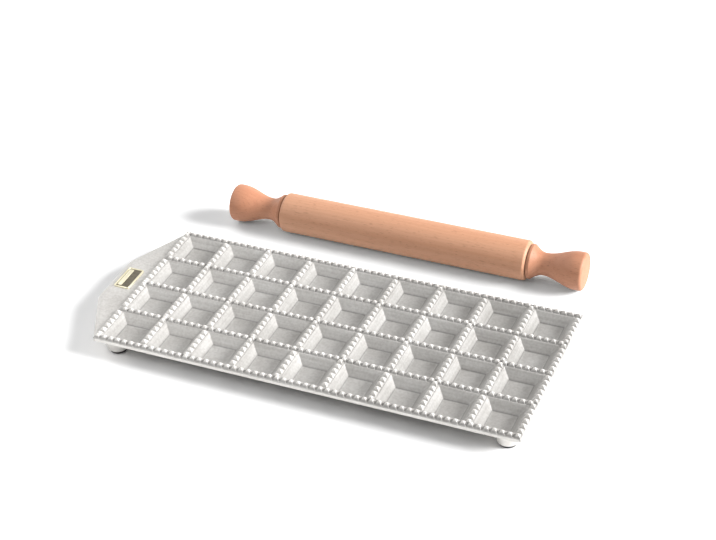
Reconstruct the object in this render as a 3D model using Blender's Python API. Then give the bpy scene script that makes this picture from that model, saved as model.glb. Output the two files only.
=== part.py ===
"""Ravioli mould: a cast tray of square pockets with toothed cutting ridges, on four rubber feet,
and the wooden rolling pin that is used on it.

Run with: blender --background --python part.py
Units are metres. X runs along the tray with the grab tab at -X, Y runs from the near side to the
rolling pin, Z is up and the table is z = 0.
"""
import math

import bmesh
import bpy
from mathutils import Vector

# Pocket grid
COLUMNS = 9
ROWS = 4
POCKET_PITCH = 0.0340
TEETH_ALONG = 58
TEETH_ACROSS = 26

# Heights above the table
TIP_HEIGHT = 0.0180
TOOTH_HEIGHT = 0.0024
SKIRT_HEIGHT = 0.0127

# Toothed ridges and pockets, measured from a ridge's centre line
TOOTH_HALF_WIDTH = 0.0026
MOUTH_INSET = 0.0030
FLOOR_INSET = 0.0084
POCKET_DEPTH = 0.0068

# Walls of the casting
WEB_THICKNESS = 0.0022
FLOOR_THICKNESS = 0.0022
SIDE_WALL = 0.0026
SKIRT_WALL = 0.0025
SKIRT_DRAFT = 0.0005
SKIRT_CORNER_RADIUS = 0.0030

# Grab tab
TAB_REACH = 0.0255
TAB_END_HALF_WIDTH = 0.0240
TAB_CORNER_RADIUS = 0.0150
TAB_STEP_DOWN = 0.0006
TAB_THICKNESS = 0.0032
TAB_ROLL = 0.0050
TAB_SIDE_STEP = 0.0003

# Legs and feet
LEG_INSET = 0.0095
LEG_TOP_RADIUS = 0.0118
LEG_BOTTOM_RADIUS = 0.0072
FOOT_RADIUS = 0.0060
FOOT_HEIGHT = 0.0020
FOOT_EDGE = 0.0008
FOOT_STEM_RADIUS = 0.0022
FOOT_STEM_LENGTH = 0.0040

# Rolling pin
PIN_DISTANCE = 0.0545
PIN_OFFSET_ALONG = 0.0015
BARREL_RADIUS = 0.0150
BARREL_LENGTH = 0.1960
BARREL_CHAMFER = 0.0016
AXLE_RADIUS = 0.0030
AXLE_GRIP = 0.0260
BUSH_WALL = 0.0024
BUSH_LENGTH = 0.0120
BUSH_FLANGE = 0.0010
BUSH_FLANGE_WIDTH = 0.0020
HANDLE_LENGTH = 0.0420
HANDLE_GAP = 0.0006
COLLAR_RADIUS = 0.0130
COLLAR_LENGTH = 0.0022
NECK_RADIUS = 0.0084
NECK_PLACE = 0.0110
FLARE_RADIUS = 0.0143
FLARE_PLACE = 0.0370
HANDLE_END_ROUND = 0.0024

# Clearances
SEAT_GAP = 0.0003
RUNNING_GAP = 0.0003

# Facets
TURNED_STEPS = 48
FOOT_STEPS = 28
ARC_STEPS = 5
TAB_ARC_STEPS = 8
ROLL_STEPS = 4
COVE_STEPS = 5
FLARE_STEPS = 7

# Values worked out from the sizes above
TRAY_LENGTH = COLUMNS * POCKET_PITCH
TOOTH_STEP = TRAY_LENGTH / TEETH_ALONG
TRAY_WIDTH = TEETH_ACROSS * TOOTH_STEP
POCKET_PITCH_ACROSS = TRAY_WIDTH / ROWS
LAND_HEIGHT = TIP_HEIGHT - TOOTH_HEIGHT
FLOOR_HEIGHT = LAND_HEIGHT - POCKET_DEPTH
WEB_HEIGHT = LAND_HEIGHT - WEB_THICKNESS
BUMP_HEIGHT = FLOOR_HEIGHT - FLOOR_THICKNESS
WALL_SLOPE = (FLOOR_INSET - MOUTH_INSET) / POCKET_DEPTH
RIM = TOOTH_HALF_WIDTH
SIDE_REACH = RIM + SKIRT_DRAFT
PIN_AXIS_HEIGHT = BARREL_RADIUS

# The middle of the set's own box, so that the origin is under it
BOX_LEFT = -TAB_REACH
BOX_RIGHT = TRAY_LENGTH + SIDE_REACH
BOX_NEAR = -SIDE_REACH
BOX_FAR = TRAY_WIDTH + PIN_DISTANCE + BARREL_RADIUS
TRAY_PLACE = Vector((-(BOX_LEFT + BOX_RIGHT) / 2, -(BOX_NEAR + BOX_FAR) / 2, 0.0))
PIN_PLACE = TRAY_PLACE + Vector(
    (TRAY_LENGTH / 2 + PIN_OFFSET_ALONG, TRAY_WIDTH + PIN_DISTANCE, PIN_AXIS_HEIGHT)
)


class Surface:
    """A mesh that is put together face by face and shares the corners that meet."""

    def __init__(self):
        self.mesh = bmesh.new()
        self.corners = {}

    def corner(self, point):
        key = tuple(round(value * 1e7) for value in point)
        if key not in self.corners:
            self.corners[key] = self.mesh.verts.new(point)
        return self.corners[key]

    def face(self, points):
        corners = []
        for point in points:
            corner = self.corner(point)
            if corner not in corners:
                corners.append(corner)
        if len(corners) > 2:
            self.mesh.faces.new(corners)

    def finish(self, name):
        bmesh.ops.recalc_face_normals(self.mesh, faces=self.mesh.faces)
        bmesh.ops.triangulate(self.mesh, faces=self.mesh.faces)
        data = bpy.data.meshes.new(name)
        self.mesh.to_mesh(data)
        self.mesh.free()
        return data


def clear_scene():
    for item in list(bpy.data.objects):
        bpy.data.objects.remove(item, do_unlink=True)


def plain_material(name, colour, roughness, metallic):
    material = bpy.data.materials.new(name)
    material.use_nodes = True
    shader = material.node_tree.nodes["Principled BSDF"]
    shader.inputs["Base Color"].default_value = (*colour, 1.0)
    shader.inputs["Roughness"].default_value = roughness
    shader.inputs["Metallic"].default_value = metallic
    return material


def add_object(name, data, material=None, place=(0.0, 0.0, 0.0)):
    item = bpy.data.objects.new(name, data)
    bpy.context.collection.objects.link(item)
    item.location = place
    if material:
        data.materials.clear()
        data.materials.append(material)
    return item


def hide_helper(item):
    item.hide_render = True
    item.display_type = "WIRE"


def cut_or_join(item, tool, operation):
    """Adds an exact Boolean that cuts the tool from the item or joins it on."""
    modifier = item.modifiers.new(operation.title(), "BOOLEAN")
    modifier.operation = operation
    modifier.solver = "EXACT"
    modifier.object = tool
    hide_helper(tool)


# Teeth: each ridge is a row of four-sided pyramids with a shared step.

def tooth_cells(start, end, phase):
    """Splits a ridge from start to end into teeth: (cell start, cell end, peak, peak share)."""
    cells = []
    first = math.floor((start / TOOTH_STEP) - phase) - 1
    last = math.ceil((end / TOOTH_STEP) - phase) + 1
    for index in range(first, last + 1):
        centre = (index + phase) * TOOTH_STEP
        cell_start = max(start, centre - TOOTH_STEP / 2)
        cell_end = min(end, centre + TOOTH_STEP / 2)
        if cell_end - cell_start < SEAT_GAP:
            continue
        peak = min(max(centre, cell_start), cell_end)
        share = 1 - abs(centre - peak) / (TOOTH_STEP / 2)
        cells.append((cell_start, cell_end, peak, share))
    cells[0] = (start, *cells[0][1:])
    cells[-1] = (cells[-1][0], end, *cells[-1][2:])
    return cells


def between(values, low, high):
    """The sorted values from low to high with both ends included."""
    margin = 1e-6
    inside = [value for value in values if low + margin < value < high - margin]
    return [low] + sorted(inside) + [high]


def column_line(index):
    return index * POCKET_PITCH


def row_line(index):
    return index * POCKET_PITCH_ACROSS


def long_ridge_cells(row):
    """Teeth of a ridge along the tray. Every second ridge is shifted by half a tooth."""
    return tooth_cells(-RIM, TRAY_LENGTH + RIM, 0.5 * (row % 2))


def cross_ridge_cells(column, row):
    """Teeth of a short ridge between two long ones."""
    return tooth_cells(row_line(row) + RIM, row_line(row + 1) - RIM, 0.5 * ((column + 1) % 2))


def long_ridge_breaks(row):
    """Places along a long ridge where a tooth ends or a cross ridge meets it."""
    breaks = [cell[0] for cell in long_ridge_cells(row)]
    for column in range(COLUMNS + 1):
        breaks.append(column_line(column) - RIM)
        breaks.append(column_line(column) + RIM)
    return breaks


def add_long_ridge(surface, row):
    middle = row_line(row)
    near = middle - RIM
    far = middle + RIM
    breaks = long_ridge_breaks(row)
    for start, end, peak, share in long_ridge_cells(row):
        tip = (peak, middle, LAND_HEIGHT + TOOTH_HEIGHT * share)
        stops = between(breaks, start, end)
        surface.face([(x, near, LAND_HEIGHT) for x in stops] + [tip])
        surface.face([(x, far, LAND_HEIGHT) for x in stops] + [tip])
        surface.face([(start, near, LAND_HEIGHT), (start, far, LAND_HEIGHT), tip])
        surface.face([(end, near, LAND_HEIGHT), (end, far, LAND_HEIGHT), tip])


def add_cross_ridge(surface, column, row):
    middle = column_line(column)
    left = middle - RIM
    right = middle + RIM
    cells = cross_ridge_cells(column, row)
    first_start = cells[0][0]
    last_end = cells[-1][1]
    for start, end, peak, share in cells:
        tip = (middle, peak, LAND_HEIGHT + TOOTH_HEIGHT * share)
        start_stops = [left, right]
        end_stops = [left, right]
        if start == first_start:
            start_stops = between(long_ridge_breaks(row), left, right)
        if end == last_end:
            end_stops = between(long_ridge_breaks(row + 1), left, right)
        surface.face([(x, start, LAND_HEIGHT) for x in start_stops] + [tip])
        surface.face([(x, end, LAND_HEIGHT) for x in end_stops] + [tip])
        surface.face([(left, start, LAND_HEIGHT), (left, end, LAND_HEIGHT), tip])
        surface.face([(right, start, LAND_HEIGHT), (right, end, LAND_HEIGHT), tip])


# Pockets, with the flat land round each mouth

def pocket_square(column, row, inset, height):
    left = column_line(column) + inset
    right = column_line(column + 1) - inset
    near = row_line(row) + inset
    far = row_line(row + 1) - inset
    return [(left, near, height), (right, near, height), (right, far, height), (left, far, height)]


def add_pocket(surface, column, row):
    outer = pocket_square(column, row, RIM, LAND_HEIGHT)
    mouth = pocket_square(column, row, MOUTH_INSET, LAND_HEIGHT)
    floor = pocket_square(column, row, FLOOR_INSET, FLOOR_HEIGHT)
    left, near = outer[0][:2]
    right, far = outer[2][:2]
    near_stops = between(long_ridge_breaks(row), left, right)
    far_stops = between(long_ridge_breaks(row + 1), left, right)
    left_stops = between([cell[0] for cell in cross_ridge_cells(column, row)], near, far)
    right_stops = between([cell[0] for cell in cross_ridge_cells(column + 1, row)], near, far)
    sides = (
        [(x, near, LAND_HEIGHT) for x in near_stops],
        [(right, y, LAND_HEIGHT) for y in right_stops],
        [(x, far, LAND_HEIGHT) for x in reversed(far_stops)],
        [(left, y, LAND_HEIGHT) for y in reversed(left_stops)],
    )
    for index, side in enumerate(sides):
        following = (index + 1) % 4
        surface.face(side + [mouth[following], mouth[index]])
        surface.face([mouth[index], mouth[following], floor[following], floor[index]])
    surface.face(floor)


# Underside: a thin web with the pockets standing down from it, inside a skirt

def web_lines(count, line, length):
    """Lines that divide the web: its inner skirt faces and the ridges between."""
    inner = [line(index) for index in range(1, count)]
    return [-RIM + SKIRT_WALL] + inner + [length + RIM - SKIRT_WALL]


def bump_inset(height):
    """How far the outside of a pocket's wall stands in from the ridge line."""
    return MOUTH_INSET + WALL_SLOPE * (LAND_HEIGHT - height) - SIDE_WALL


def add_underside(surface):
    across = web_lines(COLUMNS, column_line, TRAY_LENGTH)
    along = web_lines(ROWS, row_line, TRAY_WIDTH)
    for column in range(COLUMNS):
        for row in range(ROWS):
            base = pocket_square(column, row, bump_inset(WEB_HEIGHT), WEB_HEIGHT)
            bottom = pocket_square(column, row, bump_inset(BUMP_HEIGHT), BUMP_HEIGHT)
            cell = [
                (across[column], along[row], WEB_HEIGHT),
                (across[column + 1], along[row], WEB_HEIGHT),
                (across[column + 1], along[row + 1], WEB_HEIGHT),
                (across[column], along[row + 1], WEB_HEIGHT),
            ]
            for index in range(4):
                following = (index + 1) % 4
                surface.face([cell[index], cell[following], base[following], base[index]])
                surface.face([base[index], base[following], bottom[following], bottom[index]])
            surface.face(bottom)


def rectangle_sides(xs, ys, height):
    """The four sides of a rectangle, each a chain of points, running round it."""
    near = [(x, ys[0], height) for x in xs]
    right = [(xs[-1], y, height) for y in ys]
    far = [(x, ys[-1], height) for x in reversed(xs)]
    left = [(xs[0], y, height) for y in reversed(ys)]
    return [near, right, far, left]


def skirt_corner(at_right, at_far, start_angle):
    """Points of the skirt's rounded lower corner, running round the tray."""
    setback = SIDE_REACH - SKIRT_CORNER_RADIUS
    centre_x = TRAY_LENGTH + setback if at_right else -setback
    centre_y = TRAY_WIDTH + setback if at_far else -setback
    points = []
    for step in range(ARC_STEPS + 1):
        angle = math.radians(start_angle + 90 * step / ARC_STEPS)
        x = centre_x + SKIRT_CORNER_RADIUS * math.cos(angle)
        y = centre_y + SKIRT_CORNER_RADIUS * math.sin(angle)
        points.append((x, y, SKIRT_HEIGHT))
    return points


def add_skirt(surface):
    end_stops = []
    for row in range(ROWS):
        end_stops += [row_line(row) - RIM, row_line(row) + RIM]
    end_stops += [row_line(ROWS) - RIM, row_line(ROWS) + RIM]
    left_stops = list(end_stops)
    right_stops = list(end_stops)
    for row in range(ROWS):
        left_stops += [cell[0] for cell in cross_ridge_cells(0, row)]
        right_stops += [cell[0] for cell in cross_ridge_cells(COLUMNS, row)]
    low_x, high_x = -RIM, TRAY_LENGTH + RIM
    low_y, high_y = -RIM, TRAY_WIDTH + RIM
    near_chain = between(long_ridge_breaks(0), low_x, high_x)
    far_chain = between(long_ridge_breaks(ROWS), low_x, high_x)
    top_sides = [
        [(x, low_y, LAND_HEIGHT) for x in near_chain],
        [(high_x, y, LAND_HEIGHT) for y in between(right_stops, low_y, high_y)],
        [(x, high_y, LAND_HEIGHT) for x in reversed(far_chain)],
        [(low_x, y, LAND_HEIGHT) for y in reversed(between(left_stops, low_y, high_y))],
    ]
    corners = [
        skirt_corner(False, False, 180),
        skirt_corner(True, False, 270),
        skirt_corner(True, True, 0),
        skirt_corner(False, True, 90),
    ]
    across = web_lines(COLUMNS, column_line, TRAY_LENGTH)
    along = web_lines(ROWS, row_line, TRAY_WIDTH)
    inner_low = rectangle_sides(across, along, SKIRT_HEIGHT)
    inner_high = rectangle_sides(across, along, WEB_HEIGHT)
    half = ARC_STEPS // 2
    for index in range(4):
        this_corner = corners[index]
        next_corner = corners[(index + 1) % 4]
        surface.face(top_sides[index] + [next_corner[0], this_corner[-1]])
        for step in range(ARC_STEPS):
            surface.face([top_sides[index][0], this_corner[step], this_corner[step + 1]])
        outer_chain = this_corner[half:] + next_corner[: half + 1]
        surface.face(outer_chain + list(reversed(inner_low[index])))
        for step in range(len(inner_low[index]) - 1):
            surface.face([
                inner_low[index][step],
                inner_low[index][step + 1],
                inner_high[index][step + 1],
                inner_high[index][step],
            ])


# Grab tab

def round_corner(before, corner, after, radius):
    """An arc that joins the two straight edges which meet at a corner."""
    to_before = (before - corner).normalized()
    to_after = (after - corner).normalized()
    half_angle = to_before.angle(to_after) / 2
    setback = radius / math.tan(half_angle)
    centre = corner + (to_before + to_after).normalized() * (radius / math.sin(half_angle))
    start = corner + to_before * setback - centre
    end = corner + to_after * setback - centre
    points = []
    for step in range(TAB_ARC_STEPS + 1):
        points.append(centre + start.slerp(end, step / TAB_ARC_STEPS) * radius)
    return points


def tab_outline(inset):
    """The tab's edge from the far side of the tray to the near side, seen from above."""
    middle = TRAY_WIDTH / 2
    root_half = TRAY_WIDTH / 2 + RIM - TAB_SIDE_STEP - inset
    end = -TAB_REACH + inset
    end_half = TAB_END_HALF_WIDTH - inset / 2
    root_x = -RIM + SKIRT_WALL / 2
    far_root = Vector((-RIM, middle + root_half))
    far_end = Vector((end, middle + end_half))
    near_end = Vector((end, middle - end_half))
    near_root = Vector((-RIM, middle - root_half))
    outline = [Vector((root_x, middle + root_half)), far_root]
    outline += round_corner(far_root, far_end, near_end, TAB_CORNER_RADIUS - inset)
    outline += round_corner(far_end, near_end, near_root, TAB_CORNER_RADIUS - inset)
    outline += [near_root, Vector((root_x, middle - root_half))]
    return outline


def build_tab():
    """A plate whose free edge rolls down, made from outlines stacked from top to bottom."""
    surface = Surface()
    top = LAND_HEIGHT - TAB_STEP_DOWN
    levels = []
    for step in range(ROLL_STEPS + 1):
        angle = math.radians(90 * step / ROLL_STEPS)
        inset = TAB_ROLL * (1 - math.sin(angle))
        height = top - (TAB_THICKNESS - SEAT_GAP) * (1 - math.cos(angle))
        levels.append((inset, height))
    levels.append((0.0, top - TAB_THICKNESS))
    loops = []
    for inset, height in levels:
        loops.append([(point.x, point.y, height) for point in tab_outline(inset)])
    surface.face(loops[0])
    surface.face(loops[-1])
    for upper, lower in zip(loops, loops[1:]):
        for index in range(len(upper)):
            following = (index + 1) % len(upper)
            surface.face([upper[index], upper[following], lower[following], lower[index]])
    return add_object("tab_blank", surface.finish("tab_blank"), place=TRAY_PLACE)


# Legs and rubber feet

def leg_places():
    """Centres of the four legs, seen from above, by name."""
    left = LEG_INSET
    right = TRAY_LENGTH - LEG_INSET
    near = LEG_INSET
    far = TRAY_WIDTH - LEG_INSET
    return {
        "near_left": (left, near),
        "near_right": (right, near),
        "far_left": (left, far),
        "far_right": (right, far),
    }


def turned_mesh(name, profile, steps, closed=False, axis="X"):
    """Turns a profile of (distance along the axis, radius) points round the axis."""
    mesh = bmesh.new()
    verts = []
    for distance, radius in profile:
        if axis == "X":
            verts.append(mesh.verts.new((distance, 0.0, radius)))
        else:
            verts.append(mesh.verts.new((radius, 0.0, distance)))
    edges = []
    for first, second in zip(verts, verts[1:]):
        edges.append(mesh.edges.new((first, second)))
    if closed:
        edges.append(mesh.edges.new((verts[-1], verts[0])))
    turn_axis = (1.0, 0.0, 0.0) if axis == "X" else (0.0, 0.0, 1.0)
    bmesh.ops.spin(
        mesh, geom=verts + edges, cent=(0.0, 0.0, 0.0), axis=turn_axis,
        angle=2 * math.pi, steps=steps, use_merge=True, use_duplicate=False,
    )
    bmesh.ops.remove_doubles(mesh, verts=mesh.verts, dist=1e-6)
    bmesh.ops.recalc_face_normals(mesh, faces=mesh.faces)
    data = bpy.data.meshes.new(name)
    mesh.to_mesh(data)
    mesh.free()
    data.shade_smooth()
    data.set_sharp_from_angle(angle=math.radians(35))
    return data


def leg_blank(x, y, pocket):
    """A tapered leg that stops inside the wall of the pocket above it."""
    top = LAND_HEIGHT - WEB_THICKNESS / 2
    bottom = FOOT_HEIGHT + SEAT_GAP
    profile = [(bottom, 0.0), (bottom, LEG_BOTTOM_RADIUS), (top, LEG_TOP_RADIUS), (top, 0.0)]
    leg = add_object("leg_blank", turned_mesh("leg_blank", profile, FOOT_STEPS, axis="Z"))
    leg.location = TRAY_PLACE + Vector((x, y, 0.0))
    room = Surface()
    cover = SIDE_WALL / 2
    under = FLOOR_HEIGHT - FLOOR_THICKNESS / 2
    inset_low = MOUTH_INSET + WALL_SLOPE * (LAND_HEIGHT - under) - cover
    inset_high = MOUTH_INSET - WALL_SLOPE * TOOTH_HEIGHT - cover
    low = pocket_square(*pocket, inset_low, under)
    high = pocket_square(*pocket, inset_high, TIP_HEIGHT)
    room.face(low)
    room.face(high)
    for index in range(4):
        following = (index + 1) % 4
        room.face([low[index], low[following], high[following], high[index]])
    clearing = add_object("pocket_room", room.finish("pocket_room"), place=TRAY_PLACE)
    cut_or_join(leg, clearing, "DIFFERENCE")
    return leg


def stem_hole(x, y):
    """The blind hole in a leg that takes the foot's stem."""
    low = FOOT_HEIGHT - SEAT_GAP
    high = FOOT_HEIGHT + FOOT_STEM_LENGTH + SEAT_GAP
    radius = FOOT_STEM_RADIUS + SEAT_GAP
    profile = [(low, 0.0), (low, radius), (high, radius), (high, 0.0)]
    hole = add_object("stem_hole", turned_mesh("stem_hole", profile, FOOT_STEPS, axis="Z"))
    hole.location = TRAY_PLACE + Vector((x, y, 0.0))
    hole.rotation_euler.z = math.pi / FOOT_STEPS
    return hole


def build_foot(name, x, y, material):
    top = FOOT_HEIGHT
    stem_top = FOOT_HEIGHT + FOOT_STEM_LENGTH
    profile = [
        (0.0, 0.0),
        (0.0, FOOT_RADIUS - FOOT_EDGE),
        (FOOT_EDGE, FOOT_RADIUS),
        (top, FOOT_RADIUS),
        (top, FOOT_STEM_RADIUS),
        (stem_top - FOOT_EDGE / 2, FOOT_STEM_RADIUS),
        (stem_top, FOOT_STEM_RADIUS - FOOT_EDGE / 2),
        (stem_top, 0.0),
    ]
    data = turned_mesh(name, profile, FOOT_STEPS, axis="Z")
    return add_object(name, data, material, TRAY_PLACE + Vector((x, y, 0.0)))


def build_casting(material):
    surface = Surface()
    for row in range(ROWS + 1):
        add_long_ridge(surface, row)
    for column in range(COLUMNS + 1):
        for row in range(ROWS):
            add_cross_ridge(surface, column, row)
    for column in range(COLUMNS):
        for row in range(ROWS):
            add_pocket(surface, column, row)
    add_underside(surface)
    add_skirt(surface)
    casting = add_object("mould_casting", surface.finish("mould_casting"), material, TRAY_PLACE)
    cut_or_join(casting, build_tab(), "UNION")
    pockets = {
        "near_left": (0, 0),
        "near_right": (COLUMNS - 1, 0),
        "far_left": (0, ROWS - 1),
        "far_right": (COLUMNS - 1, ROWS - 1),
    }
    for name, (x, y) in leg_places().items():
        cut_or_join(casting, leg_blank(x, y, pockets[name]), "UNION")
    for x, y in leg_places().values():
        cut_or_join(casting, stem_hole(x, y), "DIFFERENCE")
    return casting


# Rolling pin, turned about its own axis, which is the local X axis

def bush_radius():
    return AXLE_RADIUS + RUNNING_GAP + BUSH_WALL


def build_barrel(material):
    """A solid beech roller, drilled for the axle and counterbored for its bushes."""
    half = BARREL_LENGTH / 2
    seat = half - BUSH_LENGTH
    bore = AXLE_RADIUS + 2 * RUNNING_GAP
    bush_seat = bush_radius() + SEAT_GAP
    flange_seat = bush_radius() + BUSH_FLANGE_WIDTH + SEAT_GAP
    flange_depth = half - BUSH_FLANGE - SEAT_GAP
    right_side = [
        (half - BARREL_CHAMFER, BARREL_RADIUS),
        (half, BARREL_RADIUS - BARREL_CHAMFER),
        (half, flange_seat),
        (flange_depth, flange_seat),
        (flange_depth, bush_seat),
        (seat, bush_seat),
        (seat, bore),
    ]
    left_side = [(-x, radius) for x, radius in reversed(right_side)]
    data = turned_mesh("pin_barrel", right_side + left_side, TURNED_STEPS, closed=True)
    return add_object("pin_barrel", data, material, PIN_PLACE)


def build_bush(name, side, material):
    """A flanged plastic bush that the axle turns in."""
    half = BARREL_LENGTH / 2
    inner = half - BUSH_LENGTH + SEAT_GAP
    outer = half
    flange = half - BUSH_FLANGE
    bore = AXLE_RADIUS + RUNNING_GAP
    profile = [
        (inner, bore),
        (inner, bush_radius()),
        (flange, bush_radius()),
        (flange, bush_radius() + BUSH_FLANGE_WIDTH),
        (outer, bush_radius() + BUSH_FLANGE_WIDTH),
        (outer, bore),
    ]
    profile = [(side * x, radius) for x, radius in profile]
    data = turned_mesh(name, profile, FOOT_STEPS, closed=True)
    return add_object(name, data, material, PIN_PLACE)


def build_axle(material):
    half = BARREL_LENGTH / 2 + HANDLE_GAP + AXLE_GRIP
    edge = AXLE_RADIUS / 6
    profile = [
        (-half, 0.0),
        (-half, AXLE_RADIUS - edge),
        (-half + edge, AXLE_RADIUS),
        (half - edge, AXLE_RADIUS),
        (half, AXLE_RADIUS - edge),
        (half, 0.0),
    ]
    data = turned_mesh("pin_axle", profile, FOOT_STEPS)
    return add_object("pin_axle", data, material, PIN_PLACE)


def smooth_step(share):
    """Rises from 0 to 1 with level ends, as a turner's cove does."""
    return (1 - math.cos(math.pi * share)) / 2


def handle_profile():
    """The handle's outline from the barrel outwards: collar, cove, neck, flare and round end."""
    profile = [(0.0, COLLAR_RADIUS - SEAT_GAP), (SEAT_GAP, COLLAR_RADIUS), (COLLAR_LENGTH, COLLAR_RADIUS)]
    cove_start = COLLAR_RADIUS - SEAT_GAP
    for step in range(COVE_STEPS + 1):
        share = step / COVE_STEPS
        x = COLLAR_LENGTH + SEAT_GAP + (NECK_PLACE - COLLAR_LENGTH - SEAT_GAP) * share
        radius = NECK_RADIUS + (cove_start - NECK_RADIUS) * (1 - math.sin(share * math.pi / 2))
        profile.append((x, radius))
    for step in range(1, FLARE_STEPS + 1):
        share = step / FLARE_STEPS
        x = NECK_PLACE + (FLARE_PLACE - NECK_PLACE) * share
        profile.append((x, NECK_RADIUS + (FLARE_RADIUS - NECK_RADIUS) * smooth_step(share)))
    round_start = HANDLE_LENGTH - HANDLE_END_ROUND
    for step in range(ARC_STEPS + 1):
        angle = math.radians(90 * step / ARC_STEPS)
        x = round_start + HANDLE_END_ROUND * math.sin(angle)
        radius = FLARE_RADIUS - HANDLE_END_ROUND * (1 - math.cos(angle))
        profile.append((x, radius))
    profile.append((HANDLE_LENGTH, 0.0))
    return profile


def build_handle(name, side, material):
    """A turned handle with a blind hole that grips the axle."""
    start = BARREL_LENGTH / 2 + HANDLE_GAP
    hole = AXLE_RADIUS + SEAT_GAP
    hole_end = AXLE_GRIP + SEAT_GAP
    profile = [(hole_end, 0.0), (hole_end, hole), (0.0, hole)] + handle_profile()
    profile = [(side * (start + x), radius) for x, radius in profile]
    data = turned_mesh(name, profile, TURNED_STEPS)
    return add_object(name, data, material, PIN_PLACE)


def main():
    clear_scene()
    cast_aluminium = plain_material("cast_aluminium", (0.72, 0.71, 0.70), 0.45, 0.6)
    black_rubber = plain_material("black_rubber", (0.02, 0.02, 0.02), 0.8, 0.0)
    beech = plain_material("beech", (0.72, 0.42, 0.27), 0.55, 0.0)
    steel = plain_material("steel", (0.62, 0.63, 0.64), 0.3, 1.0)
    nylon = plain_material("nylon", (0.85, 0.83, 0.78), 0.5, 0.0)
    build_casting(cast_aluminium)
    for name, (x, y) in leg_places().items():
        build_foot("foot_" + name, x, y, black_rubber)
    build_barrel(beech)
    build_axle(steel)
    for side_name, side in (("left", -1), ("right", 1)):
        build_bush("pin_bush_" + side_name, side, nylon)
        build_handle("pin_handle_" + side_name, side, beech)


main()
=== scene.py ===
# %% [markdown]
# # A ravioli mould and its rolling pin
# This lesson dresses a working model of a cast pasta tray and a turned beech rolling pin.
# The model's own solids give the places and the joints, and its driving sizes are written here
# again. This script adds the finer surfaces: rounded lips on the pockets, teeth with worn tips,
# turned wood, and the finish of each material. Everything is in metres, with the table at z = 0
# and the tray's grab tab at -X.

# %% Load the working model
import math

import bmesh
import bpy
from mathutils import Matrix, Vector


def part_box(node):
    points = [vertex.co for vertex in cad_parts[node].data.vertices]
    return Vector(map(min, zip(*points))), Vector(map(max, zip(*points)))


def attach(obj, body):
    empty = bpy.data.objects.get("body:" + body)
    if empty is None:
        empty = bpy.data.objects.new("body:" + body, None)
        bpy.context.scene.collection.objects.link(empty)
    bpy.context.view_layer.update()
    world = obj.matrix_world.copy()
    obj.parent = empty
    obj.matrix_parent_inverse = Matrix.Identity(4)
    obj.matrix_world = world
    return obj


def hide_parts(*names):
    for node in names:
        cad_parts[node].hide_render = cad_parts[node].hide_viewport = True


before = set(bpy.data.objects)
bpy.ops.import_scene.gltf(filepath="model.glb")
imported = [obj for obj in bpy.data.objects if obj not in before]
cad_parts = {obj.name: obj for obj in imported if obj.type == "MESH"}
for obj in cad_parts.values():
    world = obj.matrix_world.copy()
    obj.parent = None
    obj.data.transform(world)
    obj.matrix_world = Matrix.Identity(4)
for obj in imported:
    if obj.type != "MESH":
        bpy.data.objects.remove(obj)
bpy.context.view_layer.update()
print("nodes:", ", ".join(sorted(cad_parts)))

# %% [markdown]
# ## Sizes
# The tray is a grid, so a few sizes place everything: the pitch of the pockets, the heights of
# the tooth tips and of the land between them, and how far each wall stands in from the ridge
# line. The corner of that grid is found from the solid's own box, so the scene can't drift away
# from the working model. Another way is to type each place by hand, which breaks when the tray
# changes.

# %% Sizes of the tray and of the pin
COLUMNS = 9
ROWS = 4
PITCH = 0.0340
TEETH_ALONG = 58
TEETH_ACROSS = 26
TIP_HEIGHT = 0.0180
TOOTH_HEIGHT = 0.0024
SKIRT_HEIGHT = 0.0127
RIM = 0.0026
SKIRT_DRAFT = 0.0005
SKIRT_WALL = 0.0025
MOUTH_INSET = 0.0030
FLOOR_INSET = 0.0084
POCKET_DEPTH = 0.0068
WEB_THICKNESS = 0.0022
FLOOR_THICKNESS = 0.0022
SIDE_WALL = 0.0026

LENGTH = COLUMNS * PITCH
TOOTH_STEP = LENGTH / TEETH_ALONG
WIDTH = TEETH_ACROSS * TOOTH_STEP
PITCH_ACROSS = WIDTH / ROWS
LAND = TIP_HEIGHT - TOOTH_HEIGHT
TAB_TOP = LAND - 0.0006
FLOOR = LAND - POCKET_DEPTH
WEB = LAND - WEB_THICKNESS
BUMP = FLOOR - FLOOR_THICKNESS
WALL_SLOPE = (FLOOR_INSET - MOUTH_INSET) / POCKET_DEPTH

cast_low, cast_high = (Vector(corner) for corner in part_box("mould_casting"))
barrel_low, barrel_high = (Vector(corner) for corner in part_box("pin_barrel"))
GRID_LEFT = cast_high.x - SKIRT_DRAFT - RIM - LENGTH
GRID_NEAR = cast_low.y + SKIRT_DRAFT + RIM
GRID_CORNER = Vector((GRID_LEFT, GRID_NEAR, 0.0))
PIN_CENTRE = (barrel_low + barrel_high) / 2
print("grid corner", tuple(round(value, 5) for value in GRID_CORNER))
print("pin centre", tuple(round(value, 5) for value in PIN_CENTRE))

# %% [markdown]
# ## The camera
# The photograph was taken from the right of the tray's near side with a longish lens. Where the
# ridges cross is known in real sizes, so the camera was fitted to those crossings, and its place
# and turn are written here as plain numbers. A camera that is only aimed by eye leaves every
# other comparison uncertain. The short helper puts any object in the scene, and later steps use
# it too.

# %% Place the camera
CAMERA_PLACE = Vector((0.3989, -0.8805, 0.7064))
CAMERA_TURN = (math.radians(55.337), math.radians(1.686), math.radians(22.508))
LENS = 83.71
SENSOR_WIDTH = 36.0
NEAREST_SEEN = 0.01


def linked(name, data):
    """Puts an object with this data in the scene."""
    thing = bpy.data.objects.new(name, data)
    bpy.context.collection.objects.link(thing)
    return thing


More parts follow.
